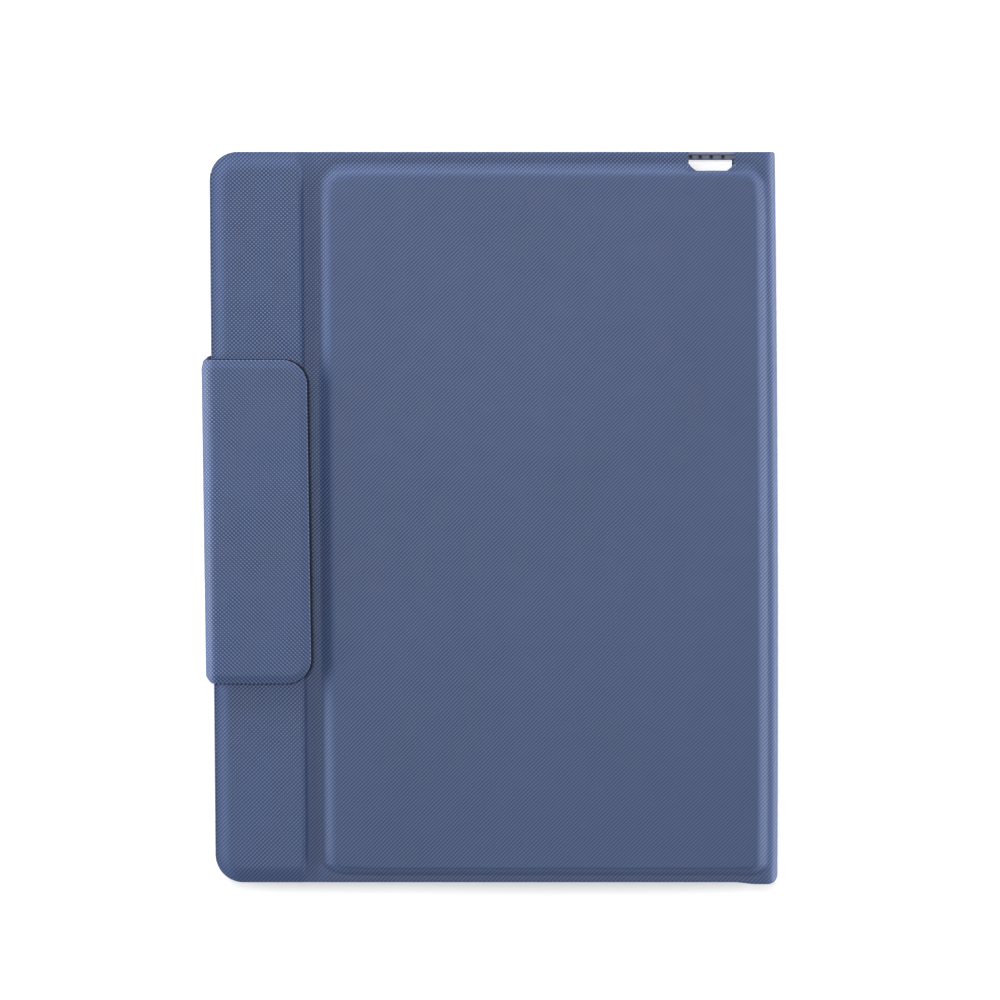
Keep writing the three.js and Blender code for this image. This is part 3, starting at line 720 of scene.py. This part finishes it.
def lining_piece(name, path, rows, free_edge, top, nodes, bodies, bend):
    """One length of lining along a path of the skin. top is where its slot ends, or None with no slot."""
    if free_edge:
        stay = path[0][:, 0] > LEFT + LINING_MARGIN - 1e-9
        path = tuple(part[stay] for part in path)
    flat = path[0]
    over_board = swell(np.minimum(flat[:, 1] - BOARD_SPAN[0], BOARD_SPAN[1] - flat[:, 1]) / (1.2 * mm))
    depth = LINING_DEPTH + BOARD_STEP * over_board * (flat[:, 0] > RIGHT - 1.3 * mm)
    ends = cover_ends(path, LINING_MARGIN, LEFT + LINING_MARGIN if free_edge else None)
    points, weave = sheet_points(path, rows, lambda x, y: -depth[:, None] + 0 * y, ends)
    keep = None if top is None else cut_slot(points, rows, top, 2)
    mesh = thick_sheet(name, settle(points), LINING, keep, weave)
    piece = place_piece(name, mesh, lining_finish)
    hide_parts(*nodes)
    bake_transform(piece)


base_span = ("base", "spine"), lower_bend
back_span = ("spine", "back_panel"), upper_bend
strip_span = ("back_panel", "holder"), groove_bend
back_nodes = ["back_lining", "spine_lining"]
lining_piece("base_lining_cloth", base_path, base_rows, True, SLOT["rim"], ["base_lining"], *base_span)
lining_piece("back_lining_cloth", back_path, back_rows, False, END, back_nodes, *back_span)
lining_piece("strip_lining_cloth", strip_path, strip_rows, True, None, ["strip_lining"], *strip_span)


# ---------- The closing flap ----------
# A tongue of the same skin over a thin stiffener with two magnets. It starts at the base's free edge, wraps
# up round the case's edge, and lies on the strip.

FLAP_CORNER = 8.8 * mm
FLAP_BEND = 4.2 * mm
FLAP_FOOT = 4.2 * mm
FLAP_SKIN = 0.6 * mm
FLAP_RIM = flap_high[2] - 0.5 * mm
FLAP_TOP_ENDS = (flap_low[1] + 0.5 * mm, flap_high[1] - 2.2 * mm)
flap_outer = case_low[0] + 0.75 * mm
flap_right = flap_high[0] - 0.6 * mm
wall_middle = (RIM_UNDER + flap_high[2]) / 2
FLAP_REACH = (flap_outer - 20 * mm, flap_right)
FLAP = {"x": FLAP_REACH, "y": FLAP_TOP_ENDS, "bevel": (3, 3.2, 3.2, 3.2), "corner": 2.4}
FLAP_OUTLINE = {"x": FLAP_REACH, "y": FLAP_TOP_ENDS, "corner": FLAP_CORNER}
# How far the flap's dark lining stands out beyond the skin's right edge, as a band of painted shadow.
LINING_SHADOW_BEYOND = 0.8 * mm
FLAP_NARROWS = 0.9 * mm
FLAP_DROOP = 0.5 * mm


def flap_height(x, y):
    """The flap's face is raised inside a soft rim along its three free edges, and its edges are folded."""
    depth = inside(x, y, FLAP_OUTLINE)
    return 0.5 * mm * swell(climbed(x, y, FLAP)) - turned_edge(depth, 0.45 * mm)


def flap_ends(path, free_edge=None):
    """Lowest and highest Y of the flap along a path: drawn in at its free corners, askew where it goes round
    the upper bend, and cut to a curve at the far end of its foot."""
    x, z = path[0].T
    cut = np.zeros_like(x)
    if free_edge is not None:
        cut = drawn_in(x - free_edge + FLAP_CORNER, FLAP_CORNER)
    round_bend = swell((FLAP_RIM - z) / FLAP_BEND)
    inward = np.clip((x - flap_outer) / (2.7 * mm), 0, 1)
    at_foot = 2 * mm * np.sqrt(1 - (1 - inward) ** 2) * (z < wall_middle)
    low = FLAP_TOP_ENDS[0] + cut + 3 * mm * round_bend
    return low, FLAP_TOP_ENDS[1] - cut + 0.3 * mm * round_bend + at_foot


flap_rows = fine_line(
    *FLAP_TOP_ENDS,
    [
        (FLAP_TOP_ENDS[0], FLAP_TOP_ENDS[0] + 0.6 * mm, 0.15 * mm),
        (FLAP_TOP_ENDS[0] + 0.6 * mm, FLAP_TOP_ENDS[0] + 5 * mm, 0.4 * mm),
        (FLAP_TOP_ENDS[1] - 5 * mm, FLAP_TOP_ENDS[1] - 0.6 * mm, 0.4 * mm),
        (FLAP_TOP_ENDS[1] - 0.6 * mm, FLAP_TOP_ENDS[1], 0.15 * mm),
    ],
)
round_corner = flap_right - FLAP_CORNER * (1 - np.cos(np.linspace(0, np.pi / 2, 26)))
flap_path = route(
    np.stack([round_corner, np.full_like(round_corner, FLAP_RIM)], axis=1),
    line((flap_right - FLAP_CORNER, FLAP_RIM), (flap_outer + FLAP_BEND, FLAP_RIM), 18),
    arc((flap_outer + FLAP_BEND, FLAP_RIM - FLAP_BEND), FLAP_BEND, 90, 180, 12),
    line((flap_outer, FLAP_RIM - FLAP_BEND), (flap_outer, wall_middle), 6),
)
wall_path = route(
    line((flap_outer, wall_middle), (flap_outer, RIM_UNDER + FLAP_FOOT), 6),
    arc((flap_outer + FLAP_FOOT, RIM_UNDER + FLAP_FOOT), FLAP_FOOT, 180, 258, 18),
)


def flap_piece(name, path, free_edge, buried, thickness, nodes, material, slot):
    """One length of the flap's skin or lining: buried is how far it lies under the outer face. The flap
    narrows towards its far end and droops near the bend, and the lining's free edge stands out a little
    beyond the skin, where the lining's dark colour is a painted shadow along the flap's edge."""
    flat = path[0]
    fullness = np.where(flat[:, 1:2] > wall_middle, 1, 0.3)
    low, high = flap_ends(path, free_edge)
    if buried and free_edge is None:
        low, high = low + 0.4 * mm, high - 0.4 * mm
    # The top lining's far edge stands out past the skin's, as a thin line of painted shadow.
    elif buried:
        low, high = low + 0.3 * mm, high + 0.3 * mm

    def height(x, y):
        return 0 * y - buried if buried else fullness * flap_height(x, y)

    points, weave = sheet_points(path, flap_rows, height, (low, high))
    x, y = points[..., 0], points[..., 1]
    narrowed = FLAP_NARROWS * (y - FLAP_TOP_ENDS[0]) / (FLAP_TOP_ENDS[1] - FLAP_TOP_ENDS[0])
    # The lining's right edge stands out beyond the skin's: a dark band of painted shadow beside the flap.
    beyond = LINING_SHADOW_BEYOND if buried else 0
    points[..., 0] += (beyond - narrowed) * swell((x - flap_right + 25 * mm) / (25 * mm))
    near_bend = np.clip(1 - (x - flap_outer) / (10 * mm), 0, 1) * (points[..., 2] > wall_middle)
    points[..., 2] -= FLAP_DROOP * near_bend**2
    pressed_and_shaded = 0.35 - 0.25 * swell(near_bend * 1.6)
    mesh = thick_sheet(name, settle(points), thickness, None, weave, pressed_and_shaded)
    piece = place_piece(name, mesh, material)
    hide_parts(*nodes)
    return piece


# The flap's lining is drawn much darker than the other linings. Where it shows beyond the skin it is painted
# shadow on a real lining.
flap_lining_painted_shadow = brushed_cloth("flap_lining_with_painted_shadow", shade(12, 15, 24), shade(30, 35, 50))
top_skin_nodes, wall_skin_nodes = ["flap_skin", "flap_upper_crease"], ["flap_wall", "flap_lower_crease"]
FLAP_LAYERS = [
    ("skin", 0.0, FLAP_SKIN, top_skin_nodes, wall_skin_nodes, skin_finish, "blue_skin"),
    ("lining", FLAP_SKIN + 0.1 * mm, LINING, ["flap_lining"], [], flap_lining_painted_shadow, "blue_lining"),
]
for layer, buried, thickness, top_nodes, wall_nodes, *finish in FLAP_LAYERS:
    top = flap_piece("flap_top_" + layer, flap_path, flap_right, buried, thickness, top_nodes, *finish)
    wall = flap_piece("flap_wall_" + layer, wall_path, None, buried, thickness, wall_nodes, *finish)
    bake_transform(top)
    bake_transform(wall)


# ---------- The slot's tape ----------
# A woven tape closes the cable slot at the cover's rim. Its inner edge is pinked into round teeth, with a
# needle hole at the root of each two.

tape_low, tape_high = (np.array(corner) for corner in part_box("slot_trim"))
TAPE_INNER = tape_low[1] - 0.1 * mm
TAPE = 0.5 * mm
TAPE_DROP = 0.3 * mm
TAPE_RIB = 0.4 * mm
HOLES = (71.0 * mm, 74.4 * mm, 78.3 * mm, 82.4 * mm)


def tape_finish():
    """Pale lavender tape with a fine rib. A furrow along the pinked edge and the needle holes are not
    modelled:
    they are painted darker, as painted shade.
    """
    shader = Shader("lavender_tape", Specular_IOR_Level=0.3)
    x, y = shader.place(0), shader.place(1)
    across = (y - float(TAPE_INNER + 0.85 * mm)) / (0.5 * mm)
    sideways = (x - HOLES[0]).absolute()
    for place in HOLES[1:]:
        sideways = sideways.least((x - place).absolute())
    sideways = sideways / (0.7 * mm)
    # The needle holes aren't cut: this mask paints them near black as shade and flattens the rib there.
    hole = 1 - (across * across + sideways * sideways).step(1.0, 0.6)
    rib = (y * (2 * math.pi / TAPE_RIB)).sine() * 0.5 + 0.5
    grain = shader.noise(0.5 * mm)
    face = shader.blend(rib * 0.3 + grain * 0.6, shade(88, 94, 126), shade(128, 134, 166))
    edge = shader.blend(grain, shade(66, 70, 88), shade(112, 114, 130))
    rim_side = (y - float(TAPE_INNER + 1.45 * mm)) / (0.3 * mm)
    # Painted shade along a furrow beside the pinked edge, which the flat tape doesn't have.
    furrow_shade = 1 - (rim_side * rim_side).step(0.6, 1.2)
    color = shader.blend(rim_side.step(0.0, 1.0), edge, face)
    color = shader.blend(furrow_shade * 0.75, color, shade(40, 44, 66))
    color = shader.blend(hole, color, shade(3, 4, 9))
    normal = shader.bump(rib * (1 - hole), 0.08 * mm)
    return shader.finish(Base_Color=color, Roughness=0.6 + grain * 0.2, Normal=normal)


tape_x = np.linspace(SLOT["x"][1] - 0.2 * mm, SLOT["x"][0] - 0.5 * mm, 97)
nearest_hole = np.min(np.abs(tape_x[:, None] - np.array(HOLES)), axis=1)
tape_edge = TAPE_INNER + 0.5 * mm * (1 - swell(nearest_hole / (1.3 * mm)))
tape_v = np.linspace(0, 1, 9)
tape_y = tape_edge[:, None] + (tape_high[1] - tape_edge[:, None]) * tape_v
tape_z = tape_high[2] - TAPE_DROP + 0 * tape_y
tape_points = np.stack([tape_x[:, None] + 0 * tape_y, tape_y, tape_z], axis=-1)
tape = place_piece("slot_tape", thick_sheet("slot_tape", tape_points, TAPE), tape_finish())
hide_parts("slot_trim")
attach(tape, "back_panel")


# ---------- The keyboard's housing ----------
# A moulded tray and a deck of matt grey plastic bonded to the lining. The channel rail behind them holds the
# tablet's lower edge.


def moulded(name, dark, light, grain_size=0.4 * mm, **constants):
    """Moulded plastic with a fine spark-eroded grain and faint cloudiness."""
    shader = Shader(name, **constants)
    grain = shader.noise(grain_size, 2)
    cloud = shader.noise(30 * mm, 3)
    color = shader.blend(cloud * 0.6 + grain * 0.4, dark, light)
    roughness = 0.42 + grain * 0.16 + (cloud - 0.5) * 0.06
    return shader.finish(Base_Color=color, Roughness=roughness, Normal=shader.bump(grain, 0.03 * mm))


def dress(material, *nodes):
    """Gives their finish to nodes that keep their CAD shape."""
    for name in nodes:
        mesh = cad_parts[name].data
        mesh.materials.clear()
        mesh.materials.append(material)


deck_plastic = moulded("slate_deck_plastic", shade(62, 68, 84), shade(78, 85, 102))
dress(deck_plastic, "keyboard_deck", "keyboard_tray", "channel_rail")
black_rubber = moulded("black_rubber", shade(20, 21, 24), shade(34, 35, 40), Specular_IOR_Level=0.3)
dress(black_rubber, "membrane_sheet")


# ---------- The keys ----------
# Each cap is a low dished block with round corners and a printed legend, in the same slate plastic a shade
# paler. The caps of a group ride on one web.

KEY_GAP = 2.4 * mm
ROWS = [
    ("keys_front_left", [1, 1, 1, 1.25], ["fn", "ctrl", "alt", "cmd"]),
    ("space_bar", [4.75], [""]),
    ("keys_front_right", [1.25, 1, 1, 1, 0.75], ["cmd", "alt", "<", "v", ">"]),
    ("keys_shift_left", [2.25, 1, 1, 1, 1, 1], ["shift", "Z", "X", "C", "V", "B"]),
    ("keys_shift_right", [1, 1, 1, 1, 1, 1.75], ["N", "M", ",", ".", "/", "shift"]),
    ("keys_home_left", [1.75, 1, 1, 1, 1, 1], ["caps", "A", "S", "D", "F", "G"]),
    ("keys_home_right", [1, 1, 1, 1, 1], ["H", "J", "K", "L", ";"]),
    ("enter_key", [2.25], ["enter"]),
    ("keys_letter_left", [1.5, 1, 1, 1, 1, 1], ["tab", "Q", "W", "E", "R", "T"]),
    ("keys_letter_right", [1, 1, 1, 1, 1, 1, 1.5], ["Y", "U", "I", "O", "P", "[", "]"]),
    ("keys_number_left", [1, 1, 1, 1, 1, 1, 1], ["`", "1", "2", "3", "4", "5", "6"]),
    ("keys_number_right", [1, 1, 1, 1, 1, 2], ["7", "8", "9", "0", "-", "del"]),
    ("keys_function", [1] * 14, ["esc"] + [f"F{n}" for n in range(1, 13)] + ["del"]),
]
cap_plastic = moulded("slate_key_plastic", shade(84, 92, 112), shade(104, 112, 132), Coat_Weight=0.1)
legend_ink = moulded("white_legend_ink", shade(215, 218, 224), shade(238, 240, 244))


def cap_points(left, right, bottom, top, low, high):
    """A key cap as a closed surface: angle round the cap by a walk from the middle of its dished top,
    over a round shoulder and down its tapered side. The plan is a superellipse, |x|^6 + |y|^6 = 1."""
    angle = np.linspace(0, 2 * np.pi, 41)
    unit = np.maximum(np.abs(np.cos(angle)) ** 6 + np.abs(np.sin(angle)) ** 6, 1e-9) ** (-1 / 6)
    corner = np.array([0, 0.4, 0.75, 1, 1, 1, 1, 1, 0.02])
    inset = np.array([1.0, 1.0, 1.0, 1.0, 0.55, 0.2, 0.1, 0.0, 0.0]) * 0.55 * mm
    fall = np.array([0.12, 0.1, 0.05, 0.0, 0.05, 0.3, 0.7, 0, 0]) * mm
    z = high - fall
    z[-2:] = low
    half_x = (right - left) / 2 - inset
    half_y = (top - bottom) / 2 - inset
    x = (left + right) / 2 + np.outer(half_x * corner, unit * np.cos(angle))
    y = (bottom + top) / 2 + np.outer(half_y * corner, unit * np.sin(angle))
    return np.stack([x, y, z[:, None] + 0 * x], axis=-1)


def merged(mesh, distance=0.02 * mm, angle=math.radians(50)):
    """Closes a mesh's poles and seams, turns its faces outwards, and keeps edges over the angle crisp."""
    work = bmesh.new()
    work.from_mesh(mesh)
    bmesh.ops.remove_doubles(work, verts=work.verts, dist=distance)
    bmesh.ops.recalc_face_normals(work, faces=work.faces)
    work.to_mesh(mesh)
    work.free()
    mesh.set_sharp_from_angle(angle=angle)
    return mesh


def printed_legend(words, x, y, z, size):
    """Flat raised lettering whose lines run along -Y and whose upright is +X, centred on a place.
    Gives its points and faces."""
    curve = bpy.data.curves.new("legend", "FONT")
    curve.body = words
    curve.size = size
    curve.align_x = "CENTER"
    curve.align_y = "CENTER"
    curve.extrude = 0.03 * mm
    curve.resolution_u = 3
    text = bpy.data.objects.new("legend", curve)
    made = bpy.data.meshes.new_from_object(text)
    count = len(made.vertices)
    flat = np.empty(count * 3)
    made.vertices.foreach_get("co", flat)
    flat = flat.reshape(-1, 3)
    points = np.stack([x + flat[:, 1], y - flat[:, 0], z + flat[:, 2]], axis=1)
    faces = [list(face.vertices) for face in made.polygons]
    bpy.data.objects.remove(text)
    bpy.data.curves.remove(curve)
    bpy.data.meshes.remove(made)
    return points, faces


for group, widths, legends in ROWS:
    low, high = (np.array(corner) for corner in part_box(group))
    pitch = (high[1] - low[1] + KEY_GAP) / sum(widths)
    ends = high[1] + KEY_GAP - pitch * np.cumsum([0, *widths])
    cap_grid, cap_faces, ink_points, ink_faces = [], [], [], []
    for start, end, words in zip(ends[:-1], ends[1:], legends):
        points = cap_points(low[0], high[0], end, start - KEY_GAP, low[2] + 0.5 * mm, high[2])
        rows, columns = points.shape[:2]
        index = np.arange(rows * columns).reshape(rows, columns) + len(cap_grid) * rows * columns
        quads = np.stack([index[:-1, :-1], index[1:, :-1], index[1:, 1:], index[:-1, 1:]], axis=-1)
        cap_grid.append(points.reshape(-1, 3))
        cap_faces.append(quads.reshape(-1, 4))
        if not words:
            continue
        size = (4.4 if len(words) == 1 else 2.6) * mm
        middle_y = (start - KEY_GAP + end) / 2
        points, faces = printed_legend(words, (low[0] + high[0]) / 2, middle_y, high[2] - 0.06 * mm, size)
        offset = sum(len(p) for p in ink_points)
        ink_points.append(points)
        ink_faces += [[v + offset for v in face] for face in faces]
    mesh = bpy.data.meshes.new(group + "_caps")
    mesh.from_pydata(np.concatenate(cap_grid).tolist(), [], np.concatenate(cap_faces).tolist())
    mesh.polygons.foreach_set("use_smooth", np.ones(len(mesh.polygons), bool))
    caps = place_piece(group + "_caps", merged(mesh), cap_plastic)
    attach(caps, group)
    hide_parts(group)
    if ink_points:
        mesh = bpy.data.meshes.new(group + "_legends")
        mesh.from_pydata(np.concatenate(ink_points).tolist(), [], ink_faces)
        ink = place_piece(group + "_legends", mesh, legend_ink)
        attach(ink, group)


# ---------- Switch, light, port and works ----------
# The small parts in the bay behind the keys: a sliding switch, a light pipe and a charging port in the end
# wall, over the circuit board and the flat cell. The magnets, boards and foam of the covers come with them.

switch_plastic = moulded("black_switch_plastic", shade(24, 26, 30), shade(40, 42, 48), 0.3 * mm)
lens_plastic = moulded("milky_lens", shade(206, 222, 236), shade(226, 238, 248), Transmission_Weight=0.3)
dress(switch_plastic, "power_switch")
dress(lens_plastic, "status_light")


def bright_metal(name, tone, roughness):
    """Nickel-plated steel: fine lengthwise scratches vary its gloss."""
    shader = Shader(name, Metallic=1.0)
    place = shader.place()
    drawn = shader.node("ShaderNodeMapping", None, {"Vector": place, "Scale": (1, 0.08, 1)})
    scratch = shader.noise(0.3 * mm, 3, drawn)
    color = shader.blend(scratch, tone, tuple(min(1.0, c * 1.25) for c in tone[:3]) + (1.0,))
    normal = shader.bump(scratch, 0.01 * mm)
    return shader.finish(Base_Color=color, Roughness=roughness + scratch * 0.15, Normal=normal)


nickel = bright_metal("nickel_plate", shade(178, 180, 184), 0.25)
dress(nickel, "usb_port", "channel_magnet_left", "channel_magnet_right", "strip_magnet_left")
dress(nickel, "strip_magnet_right", "flap_magnet_left", "flap_magnet_right")
dress(bright_metal("cell_foil", shade(150, 153, 158), 0.4), "battery")


def circuit_finish():
    """Green solder mask over a net of copper tracks at right angles."""
    shader = Shader("green_circuit_board", Coat_Weight=0.3)
    values = {"Vector": shader.place(), "Scale": 900}
    cells = shader.node("ShaderNodeTexVoronoi", {"distance": "MANHATTAN"}, values)
    track = cells.step(0.45, 0.1)
    color = shader.blend(track, shade(24, 74, 48), shade(60, 120, 78))
    normal = shader.bump(track, 0.02 * mm)
    return shader.finish(Base_Color=color, Roughness=0.35 + track * 0.1, Normal=normal)


def pressed_board(name, dark, light, size):
    """Pressed fibre board or foam: coarse mottled grain."""
    shader = Shader(name, Specular_IOR_Level=0.2)
    grain = shader.noise(size, 5)
    color = shader.blend(grain, dark, light)
    return shader.finish(Base_Color=color, Roughness=0.85 + grain * 0.1, Normal=shader.bump(grain, 0.1 * mm))


dress(circuit_finish(), "circuit_board")
fibre_board = pressed_board("grey_fibre_board", shade(120, 123, 128), shade(160, 162, 166), 1.2 * mm)
dress(fibre_board, "base_board", "spine_board", "back_board")


def stiffener(name, node, body, margin, drop):
    """A board that follows the lean of the skin over it, and keeps clear of the skin's soft edges."""
    low, high = (np.array(corner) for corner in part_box(node))
    x, y = np.meshgrid(
        np.linspace(high[0] - margin, low[0] + margin, 17),
        np.linspace(low[1] + margin, high[1] - margin, 41),
        indexing="ij",
    )
    points = np.stack([x, y, high[2] - drop + 0 * x], axis=-1)
    mesh = thick_sheet(name, settle(points), high[2] - drop - low[2])
    board = place_piece(name, mesh, fibre_board)
    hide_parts(node)
    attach(board, body)


stiffener("strip_stiffener", "strip_board", "holder", 1.2 * mm, 0.3 * mm)
stiffener("flap_stiffener", "flap_board", "flap_top", 2.6 * mm, 0.3 * mm)
dress(pressed_board("white_foam", shade(206, 206, 202), shade(232, 232, 228), 0.6 * mm), "back_foam")


# ---------- The tablet holder ----------
# A flat moulded plate bonded to the strip's lining, two fixed claws on its rim, and two sprung arms that
# slide in its notches. Each arm has a soft pad and a flat zigzag spring of round wire.

holder_plastic = moulded("slate_holder_plastic", shade(58, 63, 78), shade(76, 82, 98))
dress(holder_plastic, "holder_plate", "top_claw_left", "top_claw_right", "arm_left", "arm_right")
soft_pad = moulded("soft_grey_pad", shade(40, 42, 48), shade(60, 62, 70), 0.3 * mm)
dress(soft_pad, "arm_pad_left", "arm_pad_right")


def wire_spring(low, high, bends):
    """Round wire along a wave: the path is y = t, x = cos(bends pi t) across the notch, and the section is a
    circle carried along it, closed at both ends."""
    t = np.linspace(0, 1, bends * 16 + 1)
    radius = 0.35 * mm
    half = (high[0] - low[0]) / 2 - radius
    phase = bends * np.pi * t
    path = np.stack(
        [
            (low[0] + high[0]) / 2 + half * np.cos(phase),
            low[1] + radius + (high[1] - low[1] - 2 * radius) * t,
            np.full_like(t, (low[2] + high[2]) / 2),
        ],
        axis=1,
    )
    tangent = np.gradient(path, axis=0)
    tangent /= np.linalg.norm(tangent, axis=1)[:, None]
    side = np.stack([-tangent[:, 1], tangent[:, 0], 0 * t], axis=1)
    around = np.linspace(0, 2 * np.pi, 13)
    taper = np.ones_like(t)
    taper[[0, -1]] = 0.02
    section = np.cos(around)[None, :, None] * side[:, None, :]
    section = section + np.sin(around)[None, :, None] * np.array([0, 0, 1.0])
    return path[:, None, :] + section * (radius * taper)[:, None, None]


for side in ("left", "right"):
    low, high = (np.array(corner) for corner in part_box("arm_spring_" + side))
    spring_points = wire_spring(low, high, 7)
    rows, columns = spring_points.shape[:2]
    index = np.arange(rows * columns).reshape(rows, columns)
    quads = np.stack([index[:-1, :-1], index[:-1, 1:], index[1:, 1:], index[1:, :-1]], axis=-1)
    mesh = bpy.data.meshes.new("spring_" + side)
    mesh.from_pydata(spring_points.reshape(-1, 3).tolist(), [], quads.reshape(-1, 4).tolist())
    mesh.polygons.foreach_set("use_smooth", np.ones(len(mesh.polygons), bool))
    spring = place_piece("spring_" + side, merged(mesh, 0.03 * mm), nickel)
    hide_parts("arm_spring_" + side)
    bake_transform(spring)
